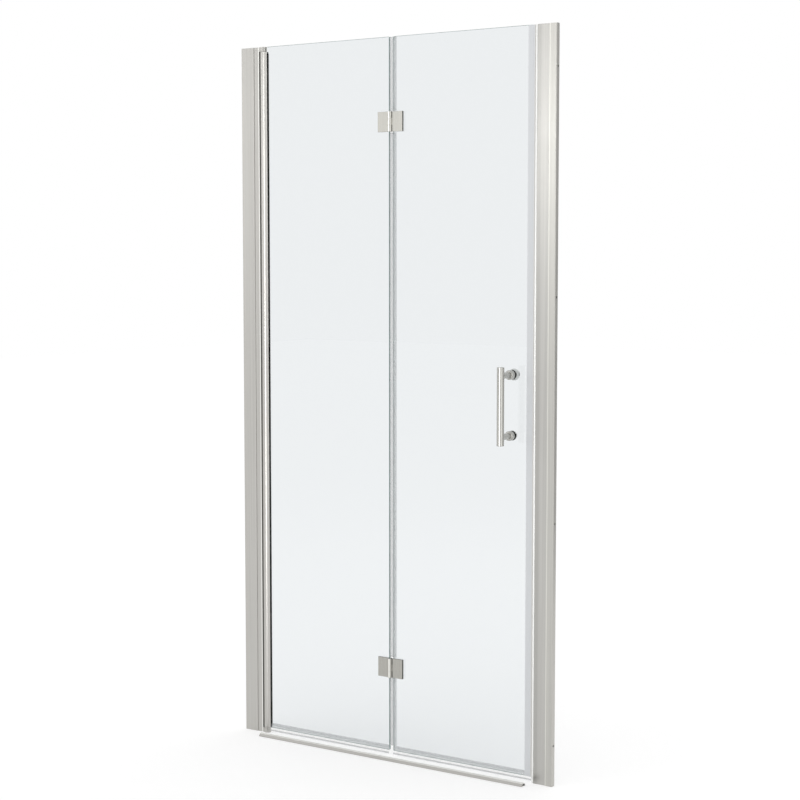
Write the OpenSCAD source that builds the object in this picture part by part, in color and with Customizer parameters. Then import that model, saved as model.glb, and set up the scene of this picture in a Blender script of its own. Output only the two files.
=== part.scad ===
// Frameless bifold shower door for an alcove: a pivot leaf and a fold leaf between two wall channels.
// Millimetres. X runs from the hinge wall to the latch wall, Y runs into the shower, Z runs up.
// Origin: face of the hinge wall, middle plane of the glass, top of the shower tray.

/* [Opening] */
// Distance between the two wall faces
opening_w = 952; // [915:1:990]
// Height of the profiles and the top edge of the glass
door_h = 1829; // [1700:1:2000]

/* [Wall channels] */
// Visible width of the channel on the hinge wall
left_channel_w = 41.3; // [38:0.1:44]
// Visible width of the channel on the latch wall
right_channel_w = 20; // [18:0.5:24]
// Depth of both channels, front to back
channel_d = 14; // [13.6:0.1:16]
// Wall thickness of the channels
channel_t = 1.4; // [1.2:0.1:1.6]
// Radius of the wall screw holes
wall_hole_r = 2.5; // [2:0.1:3]
// Distance of the end wall screws from the ends of the channel
wall_hole_inset = 100; // [60:5:200]

/* [Adjusting profiles] */
// Width of the hinge-side profile that shows beside its channel
left_profile_face = 16.5; // [14:0.5:20]
// Width of the latch-side profile that shows beside its channel
right_profile_face = 33.1; // [28:0.1:38]
// Length of the hinge-side profile inside its channel
left_profile_insert = 30; // [26:1:34]
// Length of the latch-side profile inside its channel
right_profile_insert = 14; // [12:0.5:15]
// Wall thickness of the adjusting profiles
profile_t = 1.3; // [1.1:0.1:1.5]
// Clearance between a channel and the profile that slides in it
slide_gap = 0.25; // [0.15:0.05:0.4]
// Distance of the end profile screws from the ends of the profile
profile_screw_inset = 150; // [110:5:220]
// Radius of the profile screws
profile_screw_r = 1.6; // [1.4:0.1:1.8]

/* [Pivot] */
// Radius of the round pivot profile
barrel_r = 9; // [8.4:0.1:9.6]
// Valley between the hinge-side profile and the round pivot profile
lip_gap = 2.8; // [2.4:0.1:4]
// Depth of the seat that holds the pivot wiper
seat_depth = 3; // [2.5:0.1:4]
// Height of the top pivot bracket
top_bracket_h = 11.6; // [10:0.1:16]
// Height of the bottom pivot bracket
bottom_bracket_h = 13; // [11:0.1:16]
// Length of the bracket tongue inside the profile
bracket_tongue = 34; // [28:1:38]
// Height of the bracket leg that its screw holds
bracket_leg = 24; // [18:1:40]
// Radius of the pivot pins
pivot_pin_r = 3; // [2.5:0.1:3.4]
// Length of pivot pin inside the round profile
pivot_pin_reach = 16; // [12:1:24]
// Length of pivot pin inside its bracket
pivot_pin_seat = 8; // [6:0.5:8.5]
// Wall thickness of the pivot bushes
bush_wall = 1.4; // [1:0.1:1.5]
// Thickness of the bush flange that carries the leaf
bush_flange_t = 1; // [0.8:0.1:2]

/* [Clamp and gasket] */
// Distance from the pivot axis to the bottom of the glass slot
slot_offset = 5.9; // [5.7:0.1:6.4]
// Distance from the pivot axis to the tips of the clamp jaws
jaw_reach = 14; // [13:0.5:18]
// Wall thickness of the clamp jaws
jaw_t = 1.6; // [1.4:0.1:2]
// Thickness of the glazing gasket beside the glass
gasket_t = 1.05; // [0.9:0.05:1.3]
// Width of the gasket lip that shows on the glass
gasket_lip = 1.4; // [1.2:0.1:5]

/* [Glass] */
// Thickness of the glass
glass_t = 6; // [5:0.5:6]
// Distance from the tray to the lower edge of the glass
glass_floor = 15; // [14:0.5:17]
// Distance from the pivot axis to the fold axis
leaf_pitch = 408; // [390:1:420]
// Gap between the two panes at the fold
fold_gap = 13; // [12.6:0.1:15]
// Radius of the corners of the glass
glass_corner_r = 2; // [1:0.5:4]

/* [Fold hinges] */
// Height of a hinge
hinge_h = 50; // [44:1:60]
// Width of a hinge plate
hinge_plate_w = 31; // [28:0.5:36]
// Thickness of a hinge plate
hinge_plate_t = 4.5; // [4:0.1:5.5]
// Thickness of the gaskets between the plates and the glass
hinge_gasket_t = 1; // [0.8:0.1:1.5]
// Radius of the hinge knuckles
knuckle_r = 6; // [5:0.1:6.2]
// Number of knuckles in a hinge
knuckles = 3; // [3:2:7]
// Gap between neighbouring knuckles
knuckle_gap = 0.3; // [0.2:0.05:0.5]
// Radius of the hinge pins
hinge_pin_r = 2.5; // [2:0.1:3]
// Distance from the top of the door to the middle of the upper hinge
upper_hinge_drop = 210.5; // [180:0.5:260]
// Distance from the tray to the middle of the lower hinge
lower_hinge_rise = 231.5; // [180:0.5:260]
// Spacing of the two screws in a hinge plate
hinge_screw_pitch = 26; // [22:1:28]
// Radius of the hinge screws
hinge_screw_r = 2.4; // [2:0.1:2.5]
// Radius of the holes in the glass at the hinges
glass_hole_r = 6; // [5.5:0.1:6.5]
// Width of the clamping plates behind the glass
rear_plate_w = 18; // [17:0.5:20]
// Height of the clamping plates behind the glass
rear_plate_h = 44; // [42:1:44]
// Thickness of the clamping plates behind the glass
rear_plate_t = 3; // [2.8:0.1:4]

/* [Handle] */
// Distance from the free edge of the glass to the handle
handle_inset = 56; // [45:1:80]
// Height of the middle of the handle above the tray
handle_z = 923; // [850:1:1100]
// Distance from an end of the bar to the post beside it
handle_end = 21; // [14:0.5:30]
// Distance from the glass to the axis of the bar
handle_standoff = 50; // [42:1:55]
// Radius of the bar
bar_r = 9; // [8:0.1:10]
// Length of the bar
bar_l = 190; // [180:1:210]
// Radius of the neck of a post
post_r = 7.6; // [6.5:0.1:7.6]
// Radius of the base of a post
base_r = 11.8; // [10.5:0.1:12]
// Length of the base of a post
base_l = 12; // [8:0.5:16]
// Thickness of the rubber rings at the glass
ring_t = 2.2; // [1.5:0.1:3]
// Radius of the pull knob on the shower side
knob_r = 14.5; // [13:0.5:17]
// Length of the pull knob
knob_l = 14; // [12:0.5:18]
// Radius of the cap behind the lower post
rear_cap_r = 12; // [10:0.5:13]
// Length of the cap behind the lower post
rear_cap_l = 5.5; // [5:0.5:8]
// Radius of the studs through the glass
stud_r = 3; // [2.5:0.1:3.2]

/* [Seals] */
// Wall thickness of the clear seals
seal_t = 1.2; // [0.9:0.1:1.4]
// Height that the bottom seals grip on the glass
bottom_grip = 12; // [8:0.5:16]
// Width that the fold seal grips on the glass
fold_grip = 7.3; // [6:0.1:12]
// Width that the magnetic seal grips on the glass
magnet_grip = 12.4; // [10:0.1:16]
// Depth of the magnet housings, front to back
magnet_housing_d = 9.2; // [8.8:0.1:10]
// Thickness of the strike housing on the latch profile
strike_t = 5; // [4.6:0.1:6]
// Thickness of the magnet housing on the glass
nose_t = 5.7; // [5:0.1:7]
// Gap between the two magnet housings when the door is shut
magnet_gap = 0.7; // [0.6:0.1:1]
// Height of the wiping fins above the tray
fin_lift = 1.5; // [1:0.1:3]

/* [Water bar] */
// Distance from the hinge wall to the near end of the water bar
bar_start = 79; // [60:1:90]
// Distance from the latch wall to the far end of the water bar
bar_end = 59; // [45:1:70]
// Distance from the glass plane to the near side of the water bar
bar_offset = 32; // [26:1:36]
// Width of the water bar
bar_w = 18; // [16:1:24]
// Height of the water bar
bar_h = 9; // [8:0.5:12]
// Wall thickness of the water bar
bar_t = 1.2; // [1:0.1:1.5]
// Thickness of the fixing tape under the water bar
tape_t = 0.8; // [0.5:0.1:1]

/* [Hidden] */
$fn = 48;

// Finishes
nickel = [0.78, 0.77, 0.74];
dark_nickel = [0.66, 0.65, 0.62];
steel = [0.6, 0.6, 0.6];
rubber = [0.12, 0.12, 0.12];
clear_pvc = [0.82, 0.84, 0.86, 0.6];
white_pvc = [0.93, 0.93, 0.92];
glass = [0.85, 0.93, 0.93, 0.35];
nylon = [0.9, 0.9, 0.88];
magnet = [0.25, 0.22, 0.2];

// Clearances shared by all pieces
soft_gap = 0.05;    // between stacked pieces of one body
press_gap = 0.02;   // round a pin that is pressed in
pin_gap = 0.05;     // round a pin that turns
thrust_gap = 0.2;   // over and under the pivot bushes
turn_gap = 0.5;     // between a knuckle and the other leaf's plate
screw_gap = 0.1;    // round a screw and its countersunk head
over = 1;           // how far a cutter runs past the face that it cuts

// Heights of the screws in the fixed profiles
wall_hole_z = [wall_hole_inset, wall_hole_inset + (door_h - 2 * wall_hole_inset) / 3,
               door_h - wall_hole_inset - (door_h - 2 * wall_hole_inset) / 3, door_h - wall_hole_inset];
profile_screw_z = [profile_screw_inset, door_h / 2, door_h - profile_screw_inset];

// Cross sections of the fixed profiles
channel_half = channel_d / 2;
channel_in = channel_half - channel_t;
channel_edge_r = channel_t * 0.85;
profile_edge_r = profile_t * 0.85;
profile_half = channel_in - slide_gap;
profile_in = profile_half - profile_t;
left_x0 = left_channel_w - left_profile_insert;
left_lip_x = left_channel_w + left_profile_face;
seat_x = left_lip_x - seat_depth;
strike_x = opening_w - right_channel_w - right_profile_face;
right_x1 = opening_w - right_channel_w + right_profile_insert;
left_screw_x = left_channel_w * 0.6;
right_screw_x = right_channel_w * 0.55;
profile_hole_r = profile_screw_r + 0.15;
screw_head_r = profile_screw_r * 2.1;
screw_head_t = 2;

// Strike slot of the latch profile
strike_neck = 2;
strike_head = min(3.2, profile_half - profile_t);
strike_pocket = 2.3;

// Pivot
pivot_x = left_lip_x + lip_gap + barrel_r;
bush_r = pivot_pin_r + pin_gap + bush_wall;
barrel_bore_r = bush_r + soft_gap;
bush_flange_r = barrel_r - 1;
clamp_top = door_h - top_bracket_h - thrust_gap - bush_flange_t;
clamp_bottom = bottom_bracket_h + thrust_gap + bush_flange_t;
tongue_x = left_lip_x - bracket_tongue;
tongue_half = profile_in - slide_gap;
bracket_screw_x = left_channel_w + (seat_x - profile_t - left_channel_w) / 2;

// Clamp jaws and gasket
half_glass = glass_t / 2;
slot_x = pivot_x + slot_offset;
jaw_x = pivot_x + jaw_reach;
jaw_in = half_glass + gasket_t + soft_gap;
jaw_half = jaw_in + jaw_t;
gasket_x = jaw_x + gasket_lip;
gasket_edge = 0.7;
gasket_end = 5;
gasket_bottom = clamp_bottom + gasket_end;
gasket_top = clamp_top - gasket_end;

// Panes
glass1_x0 = slot_x + soft_gap + gasket_edge + soft_gap;
relief_side = 0.6;
relief_gap = 0.6;
relief_x = jaw_x + relief_side;
fold_x = pivot_x + leaf_pitch;
fold_y = -(half_glass + hinge_gasket_t + hinge_plate_t);
glass1_x1 = fold_x - fold_gap / 2;
glass2_x0 = fold_x + fold_gap / 2;
nose_x = strike_x - strike_t - magnet_gap;
nose_base_x = nose_x - nose_t;
glass2_x1 = nose_base_x - seal_t - soft_gap;

// Hinges
plate_x0 = knuckle_r + turn_gap;
plate_x1 = plate_x0 + hinge_plate_w;
rear_plate_inset = 3;
hinge_screw_x = plate_x0 + rear_plate_inset + rear_plate_w / 2;
upper_hinge_z = door_h - upper_hinge_drop;
lower_hinge_z = lower_hinge_rise;
hinge_levels = [upper_hinge_z, lower_hinge_z];
knuckle_p = hinge_h / knuckles;
plate_edge_r = 0.6;
rear_face = half_glass + hinge_gasket_t + rear_plate_t;
hinge_hole_r = hinge_screw_r + screw_gap;
hinge_head_r = hinge_screw_r * 2;
hinge_skin = 0.9;
hinge_hole_depth = hinge_plate_t - hinge_skin;

// Handle
handle_x = glass2_x1 - handle_inset;
handle_levels = [handle_z + bar_l / 2 - handle_end, handle_z - bar_l / 2 + handle_end];
handle_hole_r = stud_r + 3;
washer_t = 1;
spigot_r = 3;
spigot_l = 5;
spigot_gap = 0.2;
bar_chamfer = 0.8;
base_round = min(base_r - post_r, base_l / 2);
stud_depth = 10;
stud_seat = 3.5;
stud_tip_gap = 0.5;
knob_neck_l = 4;

// Seals
grip_in = half_glass + soft_gap;
grip_out = grip_in + seal_t;
seal_end = 0.3;
seal_x0 = gasket_x + seal_end;
shoe_z = glass_floor - soft_gap - seal_t;
magnet_w = 3;
magnet_d = magnet_housing_d - 3;
fin_t = 1;
rail_out = grip_out + 1.4;
rail_z = shoe_z - 3.2;
fold_seal_cut = 1.5;

// Tape under the water bar
tape_end = 2;
tape_side = 3;

// ---------- Helpers ----------

// Flat rectangle between two corners
module flat(x0, x1, y0, y1) {
    translate([x0, y0]) square([x1 - x0, y1 - y0]);
}

// Flat rectangle whose corners are true arcs
module soft_flat(x0, x1, y0, y1, r) {
    flat(x0 + r, x1 - r, y0, y1);
    flat(x0, x1, y0 + r, y1 - r);
    for (x = [x0 + r, x1 - r], y = [y0 + r, y1 - r])
        translate([x, y]) circle(r = r);
}

// Section in X and Y that stands between two heights
module upright(z0, z1) {
    translate([0, 0, z0]) linear_extrude(z1 - z0) children();
}

// Section in Y and Z that runs between two places along X
module lengthwise(x0, x1) {
    translate([x0, 0, 0]) rotate([90, 0, 90]) linear_extrude(x1 - x0) children();
}

// Outline in X and Z that is as thick as the distance between two places along Y
module facing(y0, y1) {
    translate([0, y1, 0]) rotate([90, 0, 0]) linear_extrude(y1 - y0) children();
}

// Round bar or bore along Y
module round_y(x, z, r, y0, y1) {
    translate([x, y1, z]) rotate([90, 0, 0]) cylinder(r = r, h = y1 - y0);
}

// Copies at the two fixings of each hinge, on the pivot side (-1) or the fold side (1)
module at_hinge_screws(side) {
    for (z = hinge_levels, dz = [-1, 1])
        translate([fold_x + side * hinge_screw_x, 0, z + dz * hinge_screw_pitch / 2]) children();
}

// Copies at the latch side, turned to face the hinge wall
module latch_side() {
    translate([opening_w, 0, 0]) mirror([1, 0, 0]) children();
}

// ---------- Wall channels and adjusting profiles ----------

module wall_channel(width, screw_x) {
    difference() {
        upright(0, door_h) difference() {
            soft_flat(0, width, -channel_half, channel_half, channel_edge_r);
            flat(channel_t, width + over, -channel_in, channel_in);
        }
        for (z = wall_hole_z)
            translate([-over, 0, z]) rotate([0, 90, 0]) cylinder(r = wall_hole_r, h = channel_t + 2 * over);
        for (z = profile_screw_z)
            round_y(screw_x, z, profile_hole_r, channel_in - over, channel_half + over);
    }
}

module left_wall_channel() {
    color(nickel) wall_channel(left_channel_w, left_screw_x);
}

module right_wall_channel() {
    color(nickel) latch_side() wall_channel(right_channel_w, right_screw_x);
}

// Hollow section with an open seat for the wiper between two rounded lips
module left_profile_section() {
    difference() {
        soft_flat(left_x0, left_lip_x, -profile_half, profile_half, profile_edge_r);
        flat(left_x0 + profile_t, seat_x - profile_t, -profile_in, profile_in);
        flat(seat_x, left_lip_x + over, -profile_in, profile_in);
    }
}

module left_adjusting_profile() {
    color(nickel) difference() {
        upright(0, door_h) left_profile_section();
        // the web is milled away at both ends, where the bracket tongues pass
        for (z = [-over, door_h - top_bracket_h - slide_gap])
            translate([seat_x - profile_t - over, -profile_in, z])
                cube([profile_t + 2 * over, 2 * profile_in,
                      (z < 0 ? bottom_bracket_h : top_bracket_h) + slide_gap + over]);
        for (z = profile_screw_z)
            round_y(left_screw_x, z, profile_hole_r, profile_in - over, profile_half + over);
        for (z = bracket_screw_z)
            round_y(bracket_screw_x, z, profile_hole_r, profile_in - over, profile_half + over);
    }
}

// Hollow section whose end wall has a T slot for the strike housing
module right_profile_section() {
    difference() {
        soft_flat(strike_x, right_x1, -profile_half, profile_half, profile_edge_r);
        flat(strike_x + 2 * profile_t + strike_pocket, right_x1 - profile_t, -profile_in, profile_in);
        flat(strike_x - over, strike_x + profile_t + over, -strike_neck, strike_neck);
        flat(strike_x + profile_t, strike_x + profile_t + strike_pocket, -strike_head, strike_head);
    }
}

module right_adjusting_profile() {
    color(nickel) difference() {
        upright(0, door_h) right_profile_section();
        for (z = profile_screw_z)
            round_y(opening_w - right_screw_x, z, profile_hole_r, profile_in - over, profile_half + over);
    }
}

// Pan head screws that hold a profile in its channel, put in from the shower side
module profile_screws(x) {
    for (z = profile_screw_z) {
        round_y(x, z, profile_screw_r, profile_in - 2, channel_half + over);
        round_y(x, z, screw_head_r, channel_half + soft_gap, channel_half + soft_gap + screw_head_t);
    }
}

module left_profile_screws() {
    color(steel) profile_screws(left_screw_x);
}

module right_profile_screws() {
    color(steel) profile_screws(opening_w - right_screw_x);
}

// ---------- Pivot side ----------

bracket_screw_z = [door_h - top_bracket_h - bracket_leg / 2, bottom_bracket_h + bracket_leg / 2];

// Black wiper in the seat, hollowed to the round profile
module pivot_wiper_seal() {
    color(rubber) upright(bottom_bracket_h + slide_gap, door_h - top_bracket_h - slide_gap) difference() {
        flat(seat_x + soft_gap, pivot_x, -(profile_in - soft_gap), profile_in - soft_gap);
        translate([pivot_x, 0]) circle(r = barrel_r + 0.35);
    }
}

// Nose round the pivot axis and shoulder that meets the profile's lips
module bracket_nose() {
    translate([pivot_x, 0]) circle(r = barrel_r);
    soft_flat(left_lip_x + soft_gap, pivot_x, -profile_half, profile_half, plate_edge_r);
}

module bracket_tongue_section(x1) {
    flat(tongue_x, x1, -tongue_half, tongue_half);
}

module top_pivot_bracket() {
    z0 = door_h - top_bracket_h;
    color(nickel) difference() {
        union() {
            upright(z0, door_h) bracket_nose();
            upright(z0, door_h) bracket_tongue_section(pivot_x);
            upright(z0 - bracket_leg, z0 + over) bracket_tongue_section(seat_x - profile_t - slide_gap);
        }
        translate([pivot_x, 0, z0 - over]) cylinder(r = pivot_pin_r + press_gap, h = pivot_pin_seat + over);
        round_y(bracket_screw_x, bracket_screw_z[0], profile_hole_r, 0, tongue_half + over);
    }
}

module bottom_pivot_bracket() {
    z1 = bottom_bracket_h;
    color(nickel) difference() {
        union() {
            upright(0, z1) bracket_nose();
            upright(0, z1) bracket_tongue_section(pivot_x);
            upright(z1 - over, z1 + bracket_leg) bracket_tongue_section(seat_x - profile_t - slide_gap);
        }
        translate([pivot_x, 0, z1 - pivot_pin_seat])
            cylinder(r = pivot_pin_r + press_gap, h = pivot_pin_seat + over);
        round_y(bracket_screw_x, bracket_screw_z[1], profile_hole_r, 0, tongue_half + over);
    }
}

// Round pin with a small chamfer at both ends
module chamfered_pin(r, l, c) {
    cylinder(r1 = r - c, r2 = r, h = c);
    translate([0, 0, c]) cylinder(r = r, h = l - 2 * c);
    translate([0, 0, l - c]) cylinder(r1 = r, r2 = r - c, h = c);
}

module top_pivot_pin() {
    color(steel) translate([pivot_x, 0, door_h - top_bracket_h - pivot_pin_reach])
        chamfered_pin(pivot_pin_r, pivot_pin_reach + pivot_pin_seat - soft_gap, 0.6);
}

module bottom_pivot_pin() {
    color(steel) translate([pivot_x, 0, bottom_bracket_h - pivot_pin_seat + soft_gap])
        chamfered_pin(pivot_pin_r, pivot_pin_reach + pivot_pin_seat - soft_gap, 0.6);
}

module bracket_screws() {
    color(steel) for (z = bracket_screw_z) {
        round_y(bracket_screw_x, z, profile_screw_r, soft_gap, profile_half + over);
        round_y(bracket_screw_x, z, screw_head_r,
                profile_half + soft_gap, profile_half + soft_gap + screw_head_t);
    }
}

// Round profile that turns on the pins, with two jaws round the glass
module pivot_profile() {
    color(nickel) upright(clamp_bottom, clamp_top) difference() {
        union() {
            translate([pivot_x, 0]) circle(r = barrel_r);
            soft_flat(pivot_x, jaw_x, -jaw_half, jaw_half, jaw_t / 2);
        }
        translate([pivot_x, 0]) circle(r = barrel_bore_r);
        flat(slot_x, jaw_x + over, -jaw_in, jaw_in);
    }
}

// U shaped liner in the jaws with a wider lip outside them
module glazing_gasket() {
    color(rubber) upright(gasket_bottom, gasket_top) difference() {
        union() {
            flat(slot_x + soft_gap, gasket_x - over, -(jaw_in - soft_gap), jaw_in - soft_gap);
            soft_flat(jaw_x + soft_gap, gasket_x, -(jaw_in + 0.5), jaw_in + 0.5, 0.5);
        }
        flat(glass1_x0 - soft_gap, gasket_x + over, -grip_in, grip_in);
    }
}

// Flanged bush: its sleeve sits in the round profile, its flange outside the end
module pivot_bush() {
    sleeve_l = pivot_pin_reach + 1;
    difference() {
        union() {
            translate([0, 0, -sleeve_l]) cylinder(r = bush_r, h = sleeve_l + bush_flange_t);
            cylinder(r = bush_flange_r, h = bush_flange_t);
        }
        translate([0, 0, -sleeve_l - over])
            cylinder(r = pivot_pin_r + pin_gap, h = sleeve_l + bush_flange_t + 2 * over);
    }
}

module top_pivot_bush() {
    color(nylon) translate([pivot_x, 0, clamp_top]) pivot_bush();
}

module bottom_pivot_bush() {
    color(nylon) translate([pivot_x, 0, clamp_bottom]) mirror([0, 0, 1]) pivot_bush();
}

// ---------- Panes ----------

module pane(x0, x1) {
    facing(-half_glass, half_glass) soft_flat(x0, x1, glass_floor, door_h, glass_corner_r);
}

module hinge_glass_holes(side) {
    at_hinge_screws(side) round_y(0, 0, glass_hole_r, -half_glass - over, half_glass + over);
}

module pivot_glass() {
    cut_w = relief_x - glass1_x0 + over;
    cut_d = glass_t + 2 * over;
    color(glass) difference() {
        pane(glass1_x0, glass1_x1);
        // corner relieved for the top bracket
        translate([glass1_x0 - over, -cut_d / 2, clamp_top - relief_gap])
            cube([cut_w, cut_d, door_h - clamp_top + relief_gap + over]);
        // and for the bottom one, where that stands higher than the lower edge
        translate([glass1_x0 - over, -cut_d / 2, 0]) cube([cut_w, cut_d, clamp_bottom + relief_gap]);
        hinge_glass_holes(-1);
    }
}

module fold_glass() {
    color(glass) difference() {
        pane(glass2_x0, glass2_x1);
        hinge_glass_holes(1);
        for (z = handle_levels)
            round_y(handle_x, z, handle_hole_r, -half_glass - over, half_glass + over);
    }
}

// ---------- Fold hinges ----------

// Plate with its knuckles, in the hinge's own frame: axis at the origin, glass towards +Y
module hinge_plate(side, own) {
    mirror([side < 0 ? 1 : 0, 0, 0]) difference() {
        union() {
            linear_extrude(hinge_h) soft_flat(plate_x0, plate_x1, 0, hinge_plate_t, plate_edge_r);
            for (i = own) {
                z0 = i * knuckle_p + (i == 0 ? 0 : knuckle_gap / 2);
                z1 = (i + 1) * knuckle_p - (i == knuckles - 1 ? 0 : knuckle_gap / 2);
                upright(z0, z1) {
                    circle(r = knuckle_r);
                    flat(0, plate_x0 + over, 0, hinge_plate_t);
                }
            }
        }
        translate([0, 0, -over])
            cylinder(r = hinge_pin_r + (side < 0 ? press_gap : pin_gap), h = hinge_h + 2 * over);
        for (dz = [-1, 1])
            round_y(hinge_screw_x, hinge_h / 2 + dz * hinge_screw_pitch / 2, hinge_hole_r,
                    hinge_plate_t - hinge_hole_depth, hinge_plate_t + over);
    }
}

module placed_plate(side, z) {
    own = side < 0 ? [0 : 2 : knuckles - 1] : [1 : 2 : knuckles - 1];
    translate([fold_x, fold_y, z - hinge_h / 2]) hinge_plate(side, own);
}

module upper_hinge_pivot_plate() {
    color(nickel) placed_plate(-1, upper_hinge_z);
}

module lower_hinge_pivot_plate() {
    color(nickel) placed_plate(-1, lower_hinge_z);
}

module upper_hinge_fold_plate() {
    color(nickel) placed_plate(1, upper_hinge_z);
}

module lower_hinge_fold_plate() {
    color(nickel) placed_plate(1, lower_hinge_z);
}

module placed_pin(z) {
    translate([fold_x, fold_y, z - hinge_h / 2]) chamfered_pin(hinge_pin_r, hinge_h, 0.4);
}

module upper_hinge_pin() {
    color(steel) placed_pin(upper_hinge_z);
}

module lower_hinge_pin() {
    color(steel) placed_pin(lower_hinge_z);
}

// Front gaskets follow the plates, rear gaskets follow the clamping plates
module hinge_gaskets(side) {
    x_mid = fold_x + side * (plate_x0 + hinge_plate_w / 2);
    front_w = hinge_plate_w - 0.4;
    front_h = hinge_h - 0.4;
    back_x = fold_x + side * hinge_screw_x;
    for (z = hinge_levels) {
        difference() {
            facing(-half_glass - hinge_gasket_t + soft_gap, -half_glass - soft_gap)
                soft_flat(x_mid - front_w / 2, x_mid + front_w / 2, z - front_h / 2, z + front_h / 2, 1);
            at_hinge_screws(side) round_y(0, 0, hinge_hole_r, -channel_d, channel_d);
        }
        difference() {
            facing(half_glass + soft_gap, half_glass + hinge_gasket_t - soft_gap)
                soft_flat(back_x - rear_plate_w / 2 + 0.5, back_x + rear_plate_w / 2 - 0.5,
                          z - rear_plate_h / 2 + 0.5, z + rear_plate_h / 2 - 0.5, 3.5);
            at_hinge_screws(side) round_y(0, 0, hinge_hole_r, -channel_d, channel_d);
        }
    }
}

module pivot_hinge_gaskets() {
    color(rubber) hinge_gaskets(-1);
}

module fold_hinge_gaskets() {
    color(rubber) hinge_gaskets(1);
}

// Sleeves that centre the screws in the holes of the glass
module hinge_bushes(side) {
    at_hinge_screws(side) difference() {
        round_y(0, 0, glass_hole_r - soft_gap, -half_glass + soft_gap, half_glass - soft_gap);
        round_y(0, 0, hinge_hole_r, -half_glass - over, half_glass + over);
    }
}

module pivot_hinge_bushes() {
    color(nylon) hinge_bushes(-1);
}

module fold_hinge_bushes() {
    color(nylon) hinge_bushes(1);
}

// Clamping plate behind the glass, countersunk for its two screws
module rear_plate(side, z) {
    x = fold_x + side * hinge_screw_x;
    difference() {
        facing(half_glass + hinge_gasket_t, rear_face)
            soft_flat(x - rear_plate_w / 2, x + rear_plate_w / 2,
                      z - rear_plate_h / 2, z + rear_plate_h / 2, 4);
        for (dz = [-1, 1]) translate([x, 0, z + dz * hinge_screw_pitch / 2]) {
            round_y(0, 0, hinge_hole_r, 0, rear_face + over);
            translate([0, rear_face, 0]) rotate([90, 0, 0])
                cylinder(r1 = hinge_head_r + screw_gap, r2 = hinge_hole_r, h = hinge_head_r - hinge_screw_r);
        }
    }
}

module upper_pivot_rear_plate() {
    color(nickel) rear_plate(-1, upper_hinge_z);
}

module lower_pivot_rear_plate() {
    color(nickel) rear_plate(-1, lower_hinge_z);
}

module upper_fold_rear_plate() {
    color(nickel) rear_plate(1, upper_hinge_z);
}

module lower_fold_rear_plate() {
    color(nickel) rear_plate(1, lower_hinge_z);
}

// Countersunk socket screws from behind into the front plates
module hinge_screws(side) {
    tip_y = fold_y + hinge_plate_t - hinge_hole_depth + 0.3;
    head_l = hinge_head_r - hinge_screw_r;
    at_hinge_screws(side) difference() {
        union() {
            round_y(0, 0, hinge_screw_r, tip_y, rear_face - head_l + 0.01);
            translate([0, rear_face, 0]) rotate([90, 0, 0])
                cylinder(r1 = hinge_head_r, r2 = hinge_screw_r, h = head_l);
        }
        translate([0, rear_face + over, 0]) rotate([90, 0, 0]) cylinder(r = 1.6, h = 1.8 + over, $fn = 6);
    }
}

module pivot_hinge_screws() {
    color(steel) hinge_screws(-1);
}

module fold_hinge_screws() {
    color(steel) hinge_screws(1);
}

// ---------- Seals ----------

// Shoe on the glass with a drip rail, a front fin and a rear fin that wipe above the tray
module bottom_seal_section() {
    difference() {
        soft_flat(-grip_out, grip_out, shoe_z, glass_floor + bottom_grip, seal_t / 2);
        flat(-grip_in, grip_in, glass_floor - soft_gap, glass_floor + bottom_grip + over);
    }
    soft_flat(-rail_out, -grip_out + 2 * seal_t, rail_z, shoe_z + seal_t, seal_t);
    // both fins grow out of flat undersides
    front = -rail_out + seal_t + 0.1;
    rear = grip_out - seal_t / 2 - 0.1;
    polygon([[-rail_out - 0.5, fin_lift], [-rail_out + 0.3, fin_lift],
             [front + fin_t, rail_z + 0.6], [front, rail_z + 0.6]]);
    polygon([[grip_out + 0.4, fin_lift + 0.6], [grip_out + 1.2, fin_lift + 0.6],
             [rear, shoe_z + 0.6], [rear - fin_t, shoe_z + 0.6]]);
}

module pivot_bottom_seal() {
    color(clear_pvc) lengthwise(seal_x0, glass1_x1) bottom_seal_section();
}

module fold_bottom_seal() {
    // the shoe stops at the magnetic seal, the rail and fins run on under it
    legs_x = glass2_x1 - magnet_grip - soft_gap;
    color(clear_pvc) difference() {
        lengthwise(glass2_x0, nose_x) bottom_seal_section();
        translate([legs_x, -channel_half, glass_floor - 2 * soft_gap])
            cube([nose_x - legs_x + over, channel_d, bottom_grip + over]);
    }
}

// Seal on the fold edge: a shoe on the glass and a soft hollow bulb that closes the gap
module fold_seal_section() {
    bulb_half = half_glass - 0.4;
    bulb_x0 = glass1_x1 + 0.3;
    bulb_x1 = glass2_x0 - soft_gap - seal_t / 2;
    difference() {
        union() {
            soft_flat(glass2_x0 - soft_gap - seal_t, glass2_x0 + fold_grip,
                      -grip_out, grip_out, seal_t / 2);
            soft_flat(bulb_x0, bulb_x1, -bulb_half, bulb_half, 2);
        }
        flat(glass2_x0 - soft_gap, glass2_x0 + fold_grip + over, -grip_in, grip_in);
        soft_flat(bulb_x0 + 0.8, glass2_x0 - seal_t - 0.8, -bulb_half + 0.8, bulb_half - 0.8, 1.2);
    }
}

module fold_seal() {
    half = hinge_h / 2 + fold_seal_cut;
    color(clear_pvc) {
        upright(glass_floor + bottom_grip + 0.5, lower_hinge_z - half) fold_seal_section();
        upright(lower_hinge_z + half, upper_hinge_z - half) fold_seal_section();
        upright(upper_hinge_z + half, door_h - 0.5) fold_seal_section();
    }
}

// Housing round a magnet strip between two places along X
module magnet_housing(x0, x1) {
    difference() {
        soft_flat(x0, x1, -magnet_housing_d / 2, magnet_housing_d / 2, 0.8);
        magnet_section(x0, x1, soft_gap);
    }
}

module magnet_section(x0, x1, gap) {
    x = (x0 + x1) / 2;
    flat(x - magnet_w / 2 - gap, x + magnet_w / 2 + gap, -magnet_d / 2 - gap, magnet_d / 2 + gap);
}

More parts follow.
